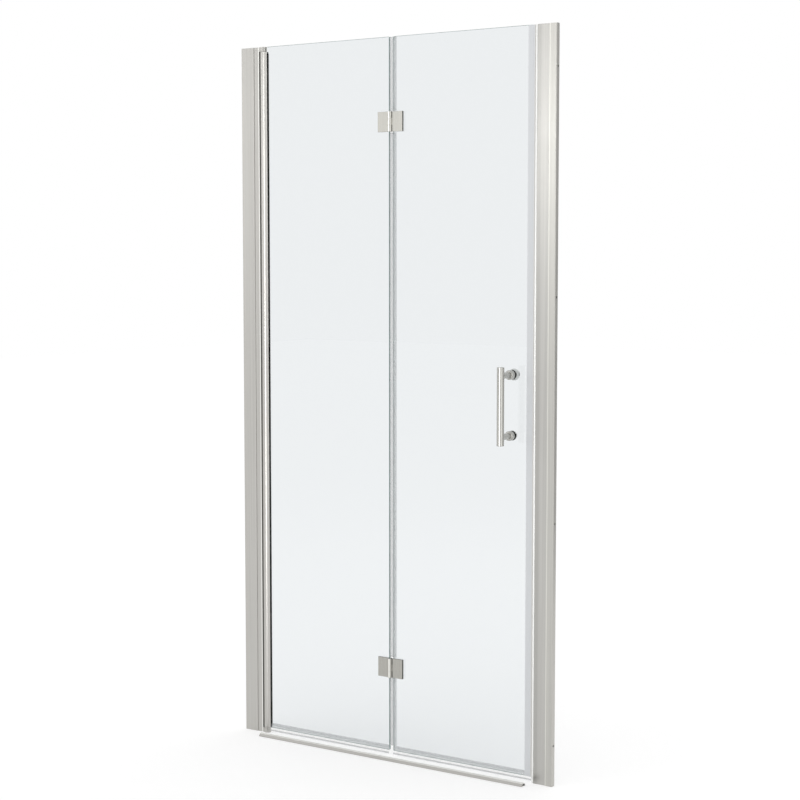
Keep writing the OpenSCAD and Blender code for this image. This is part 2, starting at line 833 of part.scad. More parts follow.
module magnetic_seal() {
    color(white_pvc) upright(glass_floor, door_h - 0.5) {
        difference() {
            soft_flat(glass2_x1 - magnet_grip, nose_base_x, -grip_out, grip_out, seal_t / 2);
            flat(glass2_x1 - magnet_grip - over, glass2_x1 + soft_gap, -grip_in, grip_in);
        }
        magnet_housing(nose_base_x - 0.1, nose_x);
    }
}

module seal_magnet() {
    color(magnet) upright(glass_floor + 0.5, door_h - 1) magnet_section(nose_base_x - 0.1, nose_x, 0);
}

// Strike housing: magnet chamber with a T root in the slot of the latch profile
module strike_housing() {
    root_x = strike_x + profile_t + soft_gap;
    color(white_pvc) upright(0, door_h) {
        magnet_housing(strike_x - strike_t, strike_x - soft_gap);
        flat(strike_x - 0.5, root_x + 0.5, -strike_neck + soft_gap, strike_neck - soft_gap);
        flat(root_x, strike_x + profile_t + strike_pocket - soft_gap,
             -strike_head + soft_gap, strike_head - soft_gap);
    }
}

module strike_magnet() {
    color(magnet) upright(0.5, door_h - 0.5) magnet_section(strike_x - strike_t, strike_x - soft_gap, 0);
}

// ---------- Handle ----------

// Frame of a handle fixing: +Z runs out of the front face of the glass
module outward(z) {
    translate([handle_x, -half_glass, z]) rotate([90, 0, 0]) children();
}

// Frame of a handle fixing: +Z runs out of the rear face of the glass
module inward(z) {
    translate([handle_x, half_glass, z]) rotate([-90, 0, 0]) children();
}

module handle_bar() {
    y = -half_glass - handle_standoff;
    color(nickel) difference() {
        translate([handle_x, y, handle_z - bar_l / 2]) chamfered_pin(bar_r, bar_l, bar_chamfer);
        for (z = handle_levels)
            round_y(handle_x, z, spigot_r + soft_gap, y + bar_r - spigot_l - spigot_gap, y + bar_r + over);
    }
}

// Turned post: wide base with a round shoulder, narrow neck coped to the bar, spigot into the bar
module handle_post(z) {
    foot = ring_t + 2 * soft_gap;
    spigot_z = foot + stud_depth + 2;
    difference() {
        union() {
            difference() {
                outward(z) rotate_extrude() {
                    flat(0, base_r, foot, foot + base_l - base_round);
                    flat(0, base_r - base_round, foot, foot + base_l);
                    flat(0, post_r, foot, handle_standoff);
                    translate([base_r - base_round, foot + base_l - base_round]) circle(r = base_round);
                }
                translate([handle_x, -half_glass - handle_standoff, z - channel_d])
                    cylinder(r = bar_r + soft_gap, h = 2 * channel_d);
            }
            outward(z) translate([0, 0, spigot_z])
                cylinder(r = spigot_r, h = handle_standoff - bar_r + spigot_l - spigot_z);
        }
        outward(z) translate([0, 0, foot - over])
            cylinder(r = stud_r + pin_gap, h = stud_depth + over + stud_tip_gap);
    }
}

module upper_handle_post() {
    color(dark_nickel) handle_post(handle_levels[0]);
}

module lower_handle_post() {
    color(dark_nickel) handle_post(handle_levels[1]);
}

// Washer with a rounded rim
module ring(r, bore, t) {
    e = t * 0.35;
    rotate_extrude() polygon([[bore, 0], [r, 0], [r, t - e], [r - e, t], [bore, t]]);
}

module handle_rings() {
    color(rubber) for (z = handle_levels)
        outward(z) translate([0, 0, soft_gap]) ring(base_r, stud_r + 0.5, ring_t);
}

module handle_studs() {
    foot = ring_t + 2 * soft_gap;
    back = glass_t + washer_t + 2 * soft_gap + stud_seat;
    color(steel) for (z = handle_levels)
        outward(z) translate([0, 0, -back]) chamfered_pin(stud_r, back + foot + stud_depth, 0.4);
}

module handle_bushes() {
    color(nylon) for (z = handle_levels) difference() {
        round_y(handle_x, z, handle_hole_r - soft_gap, -half_glass + soft_gap, half_glass - soft_gap);
        round_y(handle_x, z, stud_r + pin_gap, -half_glass - over, half_glass + over);
    }
}

module rear_washers() {
    color(rubber) for (z = handle_levels)
        inward(z) translate([0, 0, soft_gap]) ring(base_r, stud_r + 0.5, washer_t);
}

// Short pull on the shower side of the upper fixing
module rear_knob() {
    z0 = washer_t + 2 * soft_gap;
    color(nickel) inward(handle_levels[0]) difference() {
        rotate_extrude() polygon([
            [0, z0], [base_r, z0], [base_r, z0 + knob_neck_l], [knob_r - 1, z0 + knob_neck_l + 1.5],
            [knob_r, z0 + knob_neck_l + 2.5], [knob_r, z0 + knob_l - 2],
            [knob_r - 2, z0 + knob_l], [0, z0 + knob_l]
        ]);
        translate([0, 0, z0 - over]) cylinder(r = stud_r + pin_gap, h = stud_seat + stud_tip_gap + over);
    }
}

// Low cap on the shower side of the lower fixing
module rear_cap() {
    z0 = washer_t + 2 * soft_gap;
    color(nickel) inward(handle_levels[1]) difference() {
        rotate_extrude() polygon([
            [0, z0], [rear_cap_r, z0], [rear_cap_r, z0 + rear_cap_l - 1.5],
            [rear_cap_r - 1.5, z0 + rear_cap_l], [0, z0 + rear_cap_l]
        ]);
        translate([0, 0, z0 - over]) cylinder(r = stud_r + pin_gap, h = stud_seat + stud_tip_gap + over);
    }
}

// ---------- Water bar ----------

// Low hollow ramp that stands on the tray in front of the door, held by a strip of tape
module water_bar_section() {
    near = -bar_offset;
    far = near - bar_w;
    crown = near - bar_w * 0.42;
    difference() {
        polygon([[far, tape_t], [far, tape_t + 1.5], [far + 3.2, bar_h - 2.6], [far + 5, bar_h - 1.2],
                 [crown - 1.5, bar_h - 0.1], [crown, bar_h], [crown + 1.5, bar_h - 0.4],
                 [near, tape_t + 1.5], [near, tape_t]]);
        polygon([[far + 2.2, tape_t + bar_t], [far + 4.6, bar_h - 3.4], [crown - 0.6, bar_h - bar_t - 0.3],
                 [crown + 0.4, bar_h - bar_t - 0.5], [near - 2.4, tape_t + bar_t]]);
    }
}

module water_bar() {
    color(nickel) lengthwise(bar_start, opening_w - bar_end) water_bar_section();
}

module water_bar_tape() {
    color(rubber) translate([bar_start + tape_end, -bar_offset - bar_w + tape_side, 0])
        cube([opening_w - bar_end - bar_start - 2 * tape_end, bar_w - 2 * tape_side, tape_t - soft_gap]);
}

left_wall_channel();
right_wall_channel();
left_adjusting_profile();
right_adjusting_profile();
left_profile_screws();
right_profile_screws();
pivot_wiper_seal();
strike_housing();
strike_magnet();
top_pivot_bracket();
bottom_pivot_bracket();
top_pivot_pin();
bottom_pivot_pin();
bracket_screws();
water_bar();
water_bar_tape();
pivot_profile();
glazing_gasket();
top_pivot_bush();
bottom_pivot_bush();
pivot_glass();
pivot_bottom_seal();
upper_hinge_pivot_plate();
lower_hinge_pivot_plate();
upper_hinge_pin();
lower_hinge_pin();
pivot_hinge_gaskets();
pivot_hinge_bushes();
upper_pivot_rear_plate();
lower_pivot_rear_plate();
pivot_hinge_screws();
fold_glass();
fold_bottom_seal();
fold_seal();
magnetic_seal();
seal_magnet();
upper_hinge_fold_plate();
lower_hinge_fold_plate();
fold_hinge_gaskets();
fold_hinge_bushes();
upper_fold_rear_plate();
lower_fold_rear_plate();
fold_hinge_screws();
handle_bar();
upper_handle_post();
lower_handle_post();
handle_rings();
handle_studs();
handle_bushes();
rear_washers();
rear_knob();
rear_cap();
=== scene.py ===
"""Looks of a frameless bifold shower door: brushed nickel, clear panes, vinyl seals and turned fittings."""

import logging
import math
from dataclasses import dataclass, field, replace
from enum import Enum
from typing import Any, Iterable, Optional, Union

import bmesh
import bpy
from mathutils import Matrix, Vector


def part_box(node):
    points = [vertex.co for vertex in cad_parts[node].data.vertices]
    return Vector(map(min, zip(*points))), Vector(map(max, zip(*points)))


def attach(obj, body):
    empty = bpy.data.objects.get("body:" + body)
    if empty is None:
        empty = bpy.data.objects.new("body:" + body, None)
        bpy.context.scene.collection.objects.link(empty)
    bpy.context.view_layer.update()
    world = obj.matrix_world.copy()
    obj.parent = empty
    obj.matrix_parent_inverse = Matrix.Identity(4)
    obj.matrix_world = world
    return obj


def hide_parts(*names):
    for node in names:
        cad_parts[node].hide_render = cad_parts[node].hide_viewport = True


Colour = tuple[float, float, float]
Point = tuple[float, float, float]
Number = Union[int, float]

# Octaves of the brush's scratches and of every slower noise
FINE_DETAIL = 3.0
SLOW_DETAIL = 2.0
# How much longer and wider the slow streaks are than the scratches
COARSER = 9.0
# Depth of the scratches in metres
SCRATCH_DEPTH = 0.00006
# The panes, and the pieces that the long lamp near the door lights
PANES = ("pivot_glass", "fold_glass")
NEAR_PIECES = ("pivot_profile", "handle_bar", "water_bar", "strike_housing")

log = logging.getLogger("shower_door")
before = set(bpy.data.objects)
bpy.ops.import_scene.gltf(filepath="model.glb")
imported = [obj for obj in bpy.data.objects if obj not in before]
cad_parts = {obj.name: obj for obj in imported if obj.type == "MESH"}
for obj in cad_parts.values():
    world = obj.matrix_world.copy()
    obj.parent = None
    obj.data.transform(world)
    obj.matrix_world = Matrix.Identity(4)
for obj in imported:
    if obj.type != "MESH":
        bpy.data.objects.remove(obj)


class Grain(Enum):
    """Which way the brush went over the metal, as cells of noise per metre along X, Y and Z."""

    UPRIGHT = (2200.0, 2200.0, 14.0)
    LEVEL = (14.0, 2200.0, 2200.0)
    TURNED = (900.0, 900.0, 900.0)

    def slow(self) -> Point:
        """The same grain made coarser, for the slow streaks."""
        return tuple(cells / COARSER for cells in self.value)


class Wire:
    """A shader socket that takes part in Python arithmetic."""

    def __init__(self, maker: "Maker", socket: Optional[bpy.types.NodeSocket]) -> None:
        """Wraps one output socket of the maker's tree."""
        self.maker = maker
        self.socket = socket

    def _math(self, operation: str, first: Any, second: Any = None) -> "Wire":
        """Adds one Math node.

        Args:
            operation: the Math node's operation.
            first: a wire or a number.
            second: a wire, a number or nothing.

        Returns:
            The node's result.
        """
        given = {i: v for i, v in enumerate((first, second)) if v is not None}
        return self.maker.node("ShaderNodeMath", {"operation": operation}, given)

    def __add__(self, other: Any) -> "Wire":
        """Sum with a wire or number."""
        return self._math("ADD", self, other)

    def __radd__(self, other: Number) -> "Wire":
        """Sum with a number on the left."""
        return self._math("ADD", other, self)

    def __sub__(self, other: Any) -> "Wire":
        """Difference with a wire or number."""
        return self._math("SUBTRACT", self, other)

    def __mul__(self, other: Any) -> "Wire":
        """Product with a wire or number."""
        return self._math("MULTIPLY", self, other)

    def __rmul__(self, other: Number) -> "Wire":
        """Product with a number on the left."""
        return self._math("MULTIPLY", other, self)

    def __abs__(self) -> "Wire":
        """Size without its sign."""
        return self._math("ABSOLUTE", self)

    def least(self, other: Any) -> "Wire":
        """The smaller of this and other."""
        return self._math("MINIMUM", self, other)

    def most(self, other: Any) -> "Wire":
        """The larger of this and other."""
        return self._math("MAXIMUM", self, other)

    def step(self, low: float, high: float, from_value: float, to_value: float) -> "Wire":
        """Runs smoothly from one value to another while this wire runs from low to high.

        Args:
            low: where the change begins.
            high: where the change ends.
            from_value: result at and before low.
            to_value: result at and after high.

        Returns:
            The remapped wire.
        """
        return self.maker.node(
            "ShaderNodeMapRange",
            {"interpolation_type": "SMOOTHSTEP"},
            {0: self, 1: low, 2: high, 3: from_value, 4: to_value},
        )

    def spread(self) -> "Wire":
        """Spreads the middle half of a noise over 0 to 1."""
        return self.step(0.25, 0.75, 0.0, 1.0)


class Maker:
    """Builds the nodes of one material or world."""

    def __init__(self, owner: Union[bpy.types.Material, bpy.types.World]) -> None:
        """Empties the owner's node tree."""
        self.owner = owner
        owner.use_nodes = True
        self.tree = owner.node_tree
        self.tree.nodes.clear()

    @classmethod
    def of_material(cls, name: str) -> "Maker":
        """Starts an empty material of that name."""
        return cls(bpy.data.materials.new(name))

    def node(
        self,
        kind: str,
        settings: Optional[dict[str, Any]] = None,
        sockets: Optional[dict[Union[int, str], Any]] = None,
        output: Union[int, str] = 0,
    ) -> Wire:
        """Adds one node.

        Args:
            kind: the node's type.
            settings: its properties, set first.
            sockets: values or wires for its inputs.
            output: which output to hand back.

        Returns:
            The chosen output.
        """
        made = self.tree.nodes.new(kind)
        for key, value in (settings or {}).items():
            setattr(made, key, value)
        for key, value in (sockets or {}).items():
            if isinstance(value, Wire):
                self.tree.links.new(value.socket, made.inputs[key])
            else:
                made.inputs[key].default_value = value
        return Wire(self, made.outputs[output] if len(made.outputs) else None)

    def axis(self, index: int) -> Wire:
        """One of the three Object coordinates, in metres."""
        here = self.node("ShaderNodeTexCoord", output="Object")
        return self.node("ShaderNodeSeparateXYZ", sockets={0: here}, output=index)

    def noise(self, cells: Point, detail: float = SLOW_DETAIL) -> Wire:
        """Smooth noise from 0 to 1 over the Object coordinates.

        Args:
            cells: cells per metre along X, Y and Z.
            detail: how many octaves it has.

        Returns:
            The noise.
        """
        here = self.node("ShaderNodeTexCoord", output="Object")
        place = self.node("ShaderNodeMapping", sockets={"Vector": here, "Scale": cells})
        return self.node(
            "ShaderNodeTexNoise",
            {"noise_dimensions": "3D"},
            {"Vector": place, "Scale": 1.0, "Detail": detail, "Roughness": 0.5},
            "Fac",
        )

    def blend(self, share: Wire, first: Any, second: Any) -> Wire:
        """Mixes two colours.

        Args:
            share: 0 for the first, 1 for the second.
            first: a colour or wire.
            second: a colour or wire.

        Returns:
            The mixed colour.
        """
        ends = [(*c, 1.0) if isinstance(c, tuple) else c for c in (first, second)]
        return self.node("ShaderNodeMix", {"data_type": "RGBA"}, {0: share, 6: ends[0], 7: ends[1]}, 2)

    def relief(self, height: Wire, strength: float, distance: float) -> Wire:
        """Bumps the surface.

        Args:
            height: the relief, from 0 to 1.
            strength: how much of it shows.
            distance: its full height in metres.

        Returns:
            The bent normal.
        """
        return self.node(
            "ShaderNodeBump", sockets={"Strength": strength, "Distance": distance, "Height": height}
        )

    def outline(self, low: Point, high: Point, border: float, full: float) -> Wire:
        """Border along the four sides of a piece that stands in the plane of X and Z.

        Args:
            low: the least corner of the piece's box.
            high: the greatest corner of it.
            border: the border's width in metres.
            full: share of that width at full strength.

        Returns:
            1 at the sides, 0 beyond the border.
        """
        x, z = self.axis(0), self.axis(2)
        near = abs(x - low[0]).least(abs(x - high[0]))
        near = near.least(abs(z - low[2])).least(abs(z - high[2]))
        return near.step(border * full, border, 1.0, 0.0)

    def surface(self, sockets: dict[Union[int, str], Any]) -> Wire:
        """Adds the main shader with these socket values."""
        return self.node("ShaderNodeBsdfPrincipled", sockets=sockets)

    def close(self, shader: Wire) -> bpy.types.Material:
        """Joins the shader to the output and hands back the finished material."""
        self.node("ShaderNodeOutputMaterial", sockets={"Surface": shader})
        return self.owner


def shaded(tone: Colour, factor: float) -> Colour:
    """A tone made lighter or darker by a factor, and never past white."""
    return tuple(min(1.0, c * factor) for c in tone)


@dataclass(frozen=True)
class PaintedBand:
    """Band across a piece where the metal is painted brighter or darker than the rest, as a painted
    highlight or painted shade.
    """

    axis: int
    at: float
    half: float
    tone: Colour
    roughness: float = 0.33
    full: float = 0.6

    def share(self, m: Maker) -> Wire:
        """Where the band lies.

        Args:
            m: the material's maker.

        Returns:
            1 inside the band, 0 outside it.
        """
        away = abs(m.axis(self.axis) - self.at)
        return away.step(self.half * self.full, self.half, 1.0, 0.0)


@dataclass(frozen=True)
class BrushedNickel:
    """Warm nickel plate over a brushed ground."""

    name: str
    grain: Grain
    tone: Colour = (0.5, 0.49, 0.466)
    roughness: float = 0.33
    streak: float = 0.035
    relief: float = 0.12
    painted_band: Optional[PaintedBand] = None
    cloud_cells: Point = (5.0, 5.0, 5.0)
    marks: tuple[float, float, float] = (0.6, 0.25, 0.15)
    rough_scratches: float = 0.16
    rough_cloud: float = 0.08

    def build(self) -> bpy.types.Material:
        """Makes the material.

        Returns:
            Metal with fine scratches along the grain, slow streaks, a soft cloud of handling marks and,
            where a band is given, a painted highlight or painted shade.
        """
        m = Maker.of_material(self.name)
        scratches = m.noise(self.grain.value, FINE_DETAIL)
        streaks = m.noise(self.grain.slow())
        cloud = m.noise(self.cloud_cells)
        mark = streaks * self.marks[0] + scratches * self.marks[1] + cloud * self.marks[2]
        dark = shaded(self.tone, 1.0 - 2.0 * self.streak)
        light = shaded(self.tone, 1.0 + 2.0 * self.streak)
        colour = m.blend(mark.spread(), dark, light)
        rough = self.roughness + (scratches - 0.5) * self.rough_scratches + (cloud - 0.5) * self.rough_cloud
        # a band of painted highlight or painted shade over the metal's colour
        if self.painted_band is not None:
            band = self.painted_band.share(m)
            colour = m.blend(band, colour, self.painted_band.tone)
            rough = rough + band * (self.painted_band.roughness - self.roughness)
        return m.close(m.surface({
            "Base Color": colour, "Metallic": 1.0, "Roughness": rough,
            "Normal": m.relief(scratches, self.relief, SCRATCH_DEPTH),
        }))


@dataclass(frozen=True)
class EdgedPlate:
    """Brushed face whose sides are painted dark as shade, with a painted highlight along its knuckle."""

    name: str
    low: Point
    high: Point
    tone: Colour = (0.56, 0.55, 0.51)
    # painted shade: the colour of the plate's sides, within the border of its box
    edge: Colour = (0.07, 0.07, 0.065)
    border: float = 0.0003
    border_full: float = 0.5
    # painted highlight: a bright band along the knuckle
    barrel: PaintedBand = PaintedBand(0, 0.4778, 0.0021, (0.88, 0.875, 0.85))
    streak: float = 0.95
    roughness: float = 0.27
    rough_scratches: float = 0.1
    relief: float = 0.04

    def build(self) -> bpy.types.Material:
        """Makes the material.

        Returns:
            Metal painted dark as shade within the border of its box's sides, with a painted highlight on its
            knuckles.
        """
        m = Maker.of_material(self.name)
        rim = m.outline(self.low, self.high, self.border, self.border_full)
        scratches = m.noise(Grain.UPRIGHT.value, FINE_DETAIL)
        streaks = m.noise(Grain.UPRIGHT.slow())
        face = m.blend(streaks.spread(), shaded(self.tone, self.streak), self.tone)
        face = m.blend(self.barrel.share(m), face, self.barrel.tone)
        return m.close(m.surface({
            "Base Color": m.blend(rim, face, self.edge), "Metallic": 1.0,
            "Roughness": self.roughness + (scratches - 0.5) * self.rough_scratches,
            "Normal": m.relief(scratches, self.relief, SCRATCH_DEPTH),
        }))


@dataclass(frozen=True)
class PaneGlass:
    """Clear tempered pane whose ground edges look green."""

    name: str
    low: Point
    high: Point
    tint: Colour = (0.838, 0.861, 0.873)
    haze: float = 0.995
    edge: Colour = (0.36, 0.48, 0.46)
    edge_vary: float = 1.12
    border: float = 0.0005
    border_full: float = 0.6
    refraction: float = 1.5
    ground_cells: Point = (900.0, 900.0, 900.0)
    ground_roughness: float = 0.32
    ground_clear: float = 0.15
    ground_relief: float = 0.2
    ground_depth: float = 0.0001
    haze_cells: Point = (3.0, 3.0, 3.0)

    def build(self) -> bpy.types.Material:
        """Makes the material.

        Returns:
            Glass with a frosted green shader within the border of the pane's outline.
        """
        m = Maker.of_material(self.name)
        rim = m.outline(self.low, self.high, self.border, self.border_full)
        ground = m.noise(self.ground_cells)
        haze = m.noise(self.haze_cells)
        clear = m.surface({
            "Base Color": m.blend(haze, self.tint, shaded(self.tint, self.haze)),
            "Roughness": 0.0, "IOR": self.refraction, "Transmission Weight": 1.0,
        })
        frosted = m.surface({
            "Base Color": m.blend(ground, self.edge, shaded(self.edge, self.edge_vary)),
            "Roughness": self.ground_roughness, "IOR": self.refraction,
            "Transmission Weight": self.ground_clear,
            "Normal": m.relief(ground, self.ground_relief, self.ground_depth),
        })
        return m.close(m.node("ShaderNodeMixShader", sockets={0: rim, 1: clear, 2: frosted}))


@dataclass(frozen=True)
class ClearVinyl:
    """See-through vinyl of the bottom and fold seals, by height above the tray.

    The soft fins are nearly clear. A greyer bead runs along the front of the foot, and the vinyl turns
    milky in two steps above it, first at the shoe and then where the walls are thick.
    """

    name: str
    tone: Colour = (0.74, 0.76, 0.77)
    film: Colour = (0.92, 0.93, 0.94)
    streak: float = 0.94
    opacity: float = 0.23
    fin_opacity: float = 0.03
    opacity_vary: float = 0.05
    bead_opacity: float = 0.64
    bead_dark: float = 0.7
    bead_z: float = 0.0085
    bead_half: float = 0.003
    bead_full: float = 0.5
    bead_y: tuple[float, float] = (-0.0048, -0.004)
    shoe_z: float = 0.0155
    shoe_soft: float = 0.0004
    shoe_share: float = 0.45
    thick_z: float = 0.0195
    thick_soft: float = 0.001
    thick_share: float = 0.55
    flow_cells: Point = (400.0, 400.0, 30.0)
    cloud_cells: Point = (60.0, 60.0, 60.0)
    roughness: float = 0.18
    rough_vary: float = 0.1
    refraction: float = 1.46
    relief: float = 0.1
    depth: float = 0.0002

    def build(self) -> bpy.types.Material:
        """Makes the material.

        Returns:
            Milky plastic with faint flow lines.
        """
        m = Maker.of_material(self.name)
        flow = m.noise(self.flow_cells)
        cloud = m.noise(self.cloud_cells)
        z = m.axis(2)
        shoe = z.step(self.shoe_z - self.shoe_soft, self.shoe_z + self.shoe_soft, 0.0, self.shoe_share)
        thick = z.step(self.thick_z - self.thick_soft, self.thick_z + self.thick_soft, 0.0, self.thick_share)
        bead = abs(z - self.bead_z).step(self.bead_half * self.bead_full, self.bead_half, 1.0, 0.0)
        bead = bead * m.axis(1).step(*self.bead_y, 1.0, 0.0)
        milky = shoe + thick
        colour = m.blend(flow * 0.5 + cloud * 0.5, shaded(self.tone, self.streak), self.tone)
        colour = m.blend(milky, self.film, colour)
        colour = m.blend(bead, colour, shaded(self.tone, self.bead_dark))
        alpha = self.fin_opacity + milky * (self.opacity - self.fin_opacity)
        alpha = alpha + (cloud - 0.5) * self.opacity_vary
        alpha = alpha.most(bead * self.bead_opacity)
        return m.close(m.surface({
            "Base Color": colour, "Roughness": self.roughness + cloud * self.rough_vary,
            "IOR": self.refraction, "Alpha": alpha, "Normal": m.relief(flow, self.relief, self.depth),
        }))


@dataclass(frozen=True)
class MagnetVinyl:
    """Co-extruded vinyl: greyer legs on the glass and a white magnet housing."""

    name: str
    split_x: float
    split_soft: float = 0.0002
    legs: Colour = (0.84, 0.86, 0.88)
    nose: Colour = (0.82, 0.82, 0.8)
    streak: Colour = (0.93, 0.93, 0.93)
    streak_share: float = 0.5
    flow_cells: Point = (500.0, 500.0, 12.0)
    roughness: float = 0.32
    rough_vary: float = 0.1
    relief: float = 0.08
    depth: float = 0.0001

    def build(self) -> bpy.types.Material:
        """Makes the material.

        Returns:
            Smooth plastic that turns from the legs' colour to the nose's at split_x.
        """
        m = Maker.of_material(self.name)
        side = m.axis(0).step(self.split_x - self.split_soft, self.split_x + self.split_soft, 0.0, 1.0)
        flow = m.noise(self.flow_cells)
        body = m.blend(side, self.legs, self.nose)
        colour = m.node(
            "ShaderNodeMix", {"data_type": "RGBA", "blend_type": "MULTIPLY"},
            {0: flow * self.streak_share, 6: body, 7: (*self.streak, 1.0)}, 2,
        )
        return m.close(m.surface({
            "Base Color": colour, "Roughness": self.roughness + (flow - 0.5) * self.rough_vary,
            "Normal": m.relief(flow, self.relief, self.depth),
        }))


@dataclass(frozen=True)
class Moulding:
    """Plain moulded or cast stuff with a fine matt skin: rubber, nylon, foam tape or magnet strip."""

    name: str
    tone: Colour
    roughness: float
    grit: float = 1400.0
    relief: float = 0.15
    vary: float = 0.12
    gloss: float = 0.5
    cloud_cells: Point = (40.0, 40.0, 8.0)
    rough_vary: float = 0.12
    depth: float = 0.00008

    def build(self) -> bpy.types.Material:
        """Makes the material.

        Returns:
            Matt plastic or rubber with a grained skin.
        """
        m = Maker.of_material(self.name)
        grit = m.noise((self.grit,) * 3)
        cloud = m.noise(self.cloud_cells)
        dark, light = shaded(self.tone, 1.0 - self.vary), shaded(self.tone, 1.0 + self.vary)
        return m.close(m.surface({
            "Base Color": m.blend(cloud, dark, light),
            "Roughness": self.roughness + (grit - 0.5) * self.rough_vary,
            "Specular IOR Level": self.gloss, "Normal": m.relief(grit, self.relief, self.depth),
        }))


def dress(node: str, material: bpy.types.Material) -> None:
    """Gives a CAD node its material.

    Args:
        node: the node's name.
        material: its only material.
    """
    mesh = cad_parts[node].data
    mesh.materials.clear()
    mesh.materials.append(material)
    log.info("%s wears %s", node, material.name)


@dataclass
class Finishes:
    """One material of each kind, shared by the sub-assemblies."""

    upright_nickel: BrushedNickel = BrushedNickel("nickel_profile", Grain.UPRIGHT)
    # the water bar, with a painted highlight along its crown
    level_nickel: BrushedNickel = BrushedNickel(
        "nickel_water_bar", Grain.LEVEL, (0.43, 0.42, 0.4),
        painted_band=PaintedBand(1, -0.042, 0.0046, (0.86, 0.86, 0.83), 0.65),
    )
    # painted highlight along the lip's rounded edge beside the slot
    lip_nickel: BrushedNickel = BrushedNickel(
        "nickel_lip_profile", Grain.UPRIGHT, painted_band=PaintedBand(0, 0.0562, 0.0013, (0.9, 0.9, 0.86)),
    )
    # painted highlight along the channel's rounded edge
    edge_nickel: BrushedNickel = BrushedNickel(
        "nickel_edge_channel", Grain.UPRIGHT, (0.52, 0.512, 0.482),
        painted_band=PaintedBand(0, 0.9335, 0.002, (0.69, 0.685, 0.64)),
    )
    turned_nickel: BrushedNickel = BrushedNickel(
        "nickel_turned", Grain.TURNED, (0.47, 0.465, 0.44), roughness=0.28, streak=0.05,
    )
    bar_nickel: BrushedNickel = BrushedNickel(
        "nickel_bar", Grain.UPRIGHT, (0.46, 0.455, 0.43), roughness=0.16, streak=0.03, relief=0.03,
    )
    rear_nickel: BrushedNickel = BrushedNickel(
        "nickel_rear", Grain.TURNED, (0.74, 0.74, 0.72), roughness=0.25, streak=0.01, relief=0.03,
    )
    steel: BrushedNickel = BrushedNickel(
        "plain_steel", Grain.TURNED, (0.5, 0.5, 0.5), roughness=0.3, streak=0.05,
    )
    rubber: Moulding = Moulding("black_rubber", (0.016, 0.016, 0.015), 0.6, gloss=0.2)
    wiper: Moulding = Moulding("wiper_rubber", (0.07, 0.068, 0.06), 0.5)
    nylon: Moulding = Moulding("nylon", (0.8, 0.79, 0.74), 0.42)
    magnet: Moulding = Moulding("magnet_strip", (0.06, 0.05, 0.045), 0.6)
    tape: Moulding = Moulding("foam_tape", (0.6, 0.6, 0.58), 0.85, grit=2500.0, relief=0.4)
    vinyl: ClearVinyl = ClearVinyl("clear_vinyl")
    made: dict[str, bpy.types.Material] = field(default_factory=dict)

    def get(self, finish: Any) -> bpy.types.Material:
        """The material of a finish, built on first use."""
        if finish.name not in self.made:
            self.made[finish.name] = finish.build()
        return self.made[finish.name]

    def put(self, *rows: tuple[Iterable[str], Any]) -> None:
        """Dresses each row's nodes in the row's finish."""
        for nodes, finish in rows:
            for node in nodes:
                dress(node, self.get(finish))


@dataclass
class WallSides:
    """The channels, adjusting profiles and strike that stay on the walls."""

    latch_tone: Colour = (0.497, 0.489, 0.467)
    shade_tone: Colour = (0.433, 0.426, 0.406)
    shade_half: float = 0.014

    def dress(self, finishes: Finishes) -> None:
        """Gives the fixed pieces their materials, the latch profile with a painted shade along the door's
        side.
        """
        # painted shade along the latch profile's side next to the door
        shade = PaintedBand(0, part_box("right_adjusting_profile")[0].x, self.shade_half, self.shade_tone)
        latch_nickel = BrushedNickel("nickel_latch_profile", Grain.UPRIGHT, self.latch_tone, painted_band=shade)
        finishes.put(
            (("left_wall_channel",), finishes.upright_nickel),
            (("right_adjusting_profile",), latch_nickel),
            (("top_pivot_bracket", "bottom_pivot_bracket"), finishes.upright_nickel),
            (("top_pivot_pin", "bottom_pivot_pin"), finishes.steel),
            (("left_adjusting_profile",), finishes.lip_nickel),
            (("right_wall_channel",), finishes.edge_nickel),
            (("pivot_wiper_seal",), finishes.wiper),
            (("strike_magnet",), finishes.magnet),
            (("strike_housing",), MagnetVinyl("strike_vinyl", split_x=0.0)),
        )


@dataclass
class WaterBar:
    """The loose ramp on the tray and the tape under it."""

    bar: str = "water_bar"
    tape: str = "water_bar_tape"

    def dress(self, finishes: Finishes) -> None:
        """Gives the bar and its tape their materials."""
        finishes.put(((self.bar,), finishes.level_nickel), ((self.tape,), finishes.tape))


@dataclass
class Leaf:
    """One glass leaf with its seals."""

    pane: str
    seals: tuple[str, ...]
    metal: tuple[str, ...] = ()
    rubber: tuple[str, ...] = ()
    nylon: tuple[str, ...] = ()
    steel: tuple[str, ...] = ()

    def dress(self, finishes: Finishes) -> None:
        """Gives the pane, seals and small pieces their materials."""
        low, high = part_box(self.pane)
        finishes.put(
            ((self.pane,), PaneGlass(self.pane + "_glass", tuple(low), tuple(high))),
            (self.seals, finishes.vinyl),
            (self.metal, finishes.upright_nickel),
            (self.rubber, finishes.rubber),
            (self.nylon, finishes.nylon),
            (self.steel, finishes.steel),
        )


@dataclass
class FoldHinges:
    """The plates of both barrel hinges, in a darker tone low down, where less light falls."""

    upper: tuple[str, ...] = (
        "upper_hinge_pivot_plate", "upper_hinge_fold_plate",
        "upper_pivot_rear_plate", "upper_fold_rear_plate",
    )
    lower: tuple[str, ...] = (
        "lower_hinge_pivot_plate", "lower_hinge_fold_plate",
        "lower_pivot_rear_plate", "lower_fold_rear_plate",
    )
    lower_tone: Colour = (0.438, 0.43, 0.398)
    # painted highlight along the lower knuckle
    lower_barrel_highlight: PaintedBand = PaintedBand(0, 0.4779, 0.0031, (0.82, 0.815, 0.77))

    def dress(self, finishes: Finishes) -> None:
        """Gives each plate a material that knows the plate's outline."""
        for node in self.upper + self.lower:
            low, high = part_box(node)
            plate = EdgedPlate(node + "_nickel", tuple(low), tuple(high))
            if node in self.lower:
                plate = replace(plate, tone=self.lower_tone, barrel=self.lower_barrel_highlight)
            finishes.put(((node,), plate))


